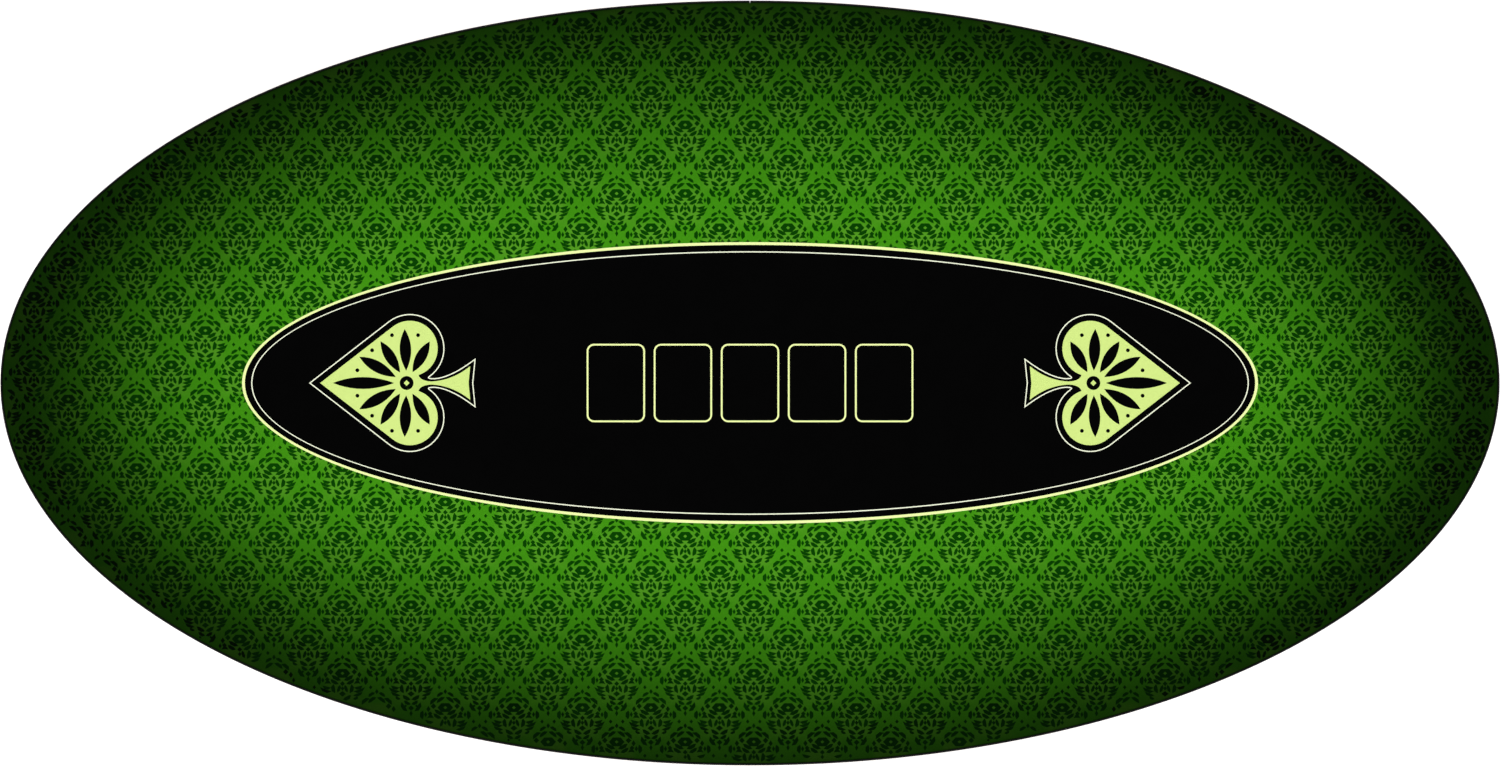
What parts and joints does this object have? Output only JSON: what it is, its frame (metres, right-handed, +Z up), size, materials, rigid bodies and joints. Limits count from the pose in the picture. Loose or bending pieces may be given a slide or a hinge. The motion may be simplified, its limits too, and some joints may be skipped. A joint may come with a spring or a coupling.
{
  "type": "poker table",
  "caption": "Rail-less oval card table: padded printed cloth in a black edge moulding, on two folding tubular leg frames with locking braces.",
  "frame": {"origin": "centre of the bounding box on the floor plane, z = 0 under the foot cups", "axes": "+X along the long axis of the oval, +Y across it towards the back, +Z up out of the playing cloth"},
  "size_m": [1.83, 0.934, 0.76],
  "materials": {
    "cloth": "printed matt weave",
    "foam": "closed-cell foam",
    "plywood": "sanded birch plywood",
    "vinyl": "satin black",
    "timber": "planed softwood",
    "black_steel": "black powder coat",
    "zinc": "bright zinc plate",
    "nylon": "natural nylon",
    "rubber": "matt black"
  },
  "bodies": {
    "top": {"top_panel": "plywood", "foam_pad": "foam", "playing_cloth": "cloth", "edge_moulding": "vinyl", "stiffener_rail_front": "timber", "stiffener_rail_back": "timber", "pivot_bracket_outer_a": "zinc", "pivot_bush_outer_a": "nylon", "bracket_screw_outer_1_a": "zinc", "bracket_screw_outer_2_a": "zinc", "pivot_bracket_inner_a": "zinc", "pivot_bush_inner_a": "nylon", "bracket_screw_inner_1_a": "zinc", "bracket_screw_inner_2_a": "zinc", "brace_bracket_a": "zinc", "brace_bracket_pin_a": "zinc", "brace_screw_1_a": "zinc", "brace_screw_2_a": "zinc", "pivot_bracket_outer_b": "zinc", "pivot_bush_outer_b": "nylon", "bracket_screw_outer_1_b": "zinc", "bracket_screw_outer_2_b": "zinc", "pivot_bracket_inner_b": "zinc", "pivot_bush_inner_b": "nylon", "bracket_screw_inner_1_b": "zinc", "bracket_screw_inner_2_b": "zinc", "brace_bracket_b": "zinc", "brace_bracket_pin_b": "zinc", "brace_screw_1_b": "zinc", "brace_screw_2_b": "zinc"},
    "leg_frame_a": {"leg_tube_outer_a": "black_steel", "leg_tube_inner_a": "black_steel", "pivot_tube_a": "black_steel", "crossbar_upper_a": "black_steel", "crossbar_lower_a": "black_steel", "brace_lug_a": "black_steel", "brace_lug_pin_a": "zinc", "foot_cup_outer_a": "rubber", "foot_cup_inner_a": "rubber"},
    "brace_upper_a": {"brace_link_upper_a": "zinc", "elbow_rivet_upper_a": "zinc"},
    "brace_lower_a": {"brace_link_lower_a": "zinc", "elbow_rivet_lower_a": "zinc"},
    "leg_frame_b": {"leg_tube_outer_b": "black_steel", "leg_tube_inner_b": "black_steel", "pivot_tube_b": "black_steel", "crossbar_upper_b": "black_steel", "crossbar_lower_b": "black_steel", "brace_lug_b": "black_steel", "brace_lug_pin_b": "zinc", "foot_cup_outer_b": "rubber", "foot_cup_inner_b": "rubber"},
    "brace_upper_b": {"brace_link_upper_b": "zinc", "elbow_rivet_upper_b": "zinc"},
    "brace_lower_b": {"brace_link_lower_b": "zinc", "elbow_rivet_lower_b": "zinc"}
  },
  "joints": [
    {"name": "leg_fold_a", "type": "hinge", "parent": "top", "child": "leg_frame_a", "pos_m": [0.6, 0.02, 0.6939], "axis": [0, 1, 0], "range_deg": [0, 94]},
    {"name": "brace_upper_fold_a", "type": "hinge", "parent": "top", "child": "brace_upper_a", "pos_m": [0.3, 0.02, 0.7139], "axis": [0, -1, 0], "range_deg": [0, 37.2]},
    {"name": "brace_lower_fold_a", "type": "hinge", "parent": "leg_frame_a", "child": "brace_lower_a", "pos_m": [0.5933, 0.02, 0.50297], "axis": [0, 1, 0], "range_deg": [0, 49.9]},
    {"name": "leg_fold_b", "type": "hinge", "parent": "top", "child": "leg_frame_b", "pos_m": [-0.6, -0.02, 0.6939], "axis": [0, -1, 0], "range_deg": [0, 94]},
    {"name": "brace_upper_fold_b", "type": "hinge", "parent": "top", "child": "brace_upper_b", "pos_m": [-0.3, -0.02, 0.7139], "axis": [0, 1, 0], "range_deg": [0, 37.2]},
    {"name": "brace_lower_fold_b", "type": "hinge", "parent": "leg_frame_b", "child": "brace_lower_b", "pos_m": [-0.5933, -0.02, 0.50297], "axis": [0, -1, 0], "range_deg": [0, 49.9]}
  ],
  "couplings": [
    {"joint": "brace_upper_fold_a", "follows": "leg_fold_a", "ratio": 0.3932},
    {"joint": "brace_lower_fold_a", "follows": "leg_fold_a", "ratio": 0.52773},
    {"joint": "brace_upper_fold_b", "follows": "leg_fold_b", "ratio": 0.3932},
    {"joint": "brace_lower_fold_b", "follows": "leg_fold_b", "ratio": 0.52773}
  ]
}
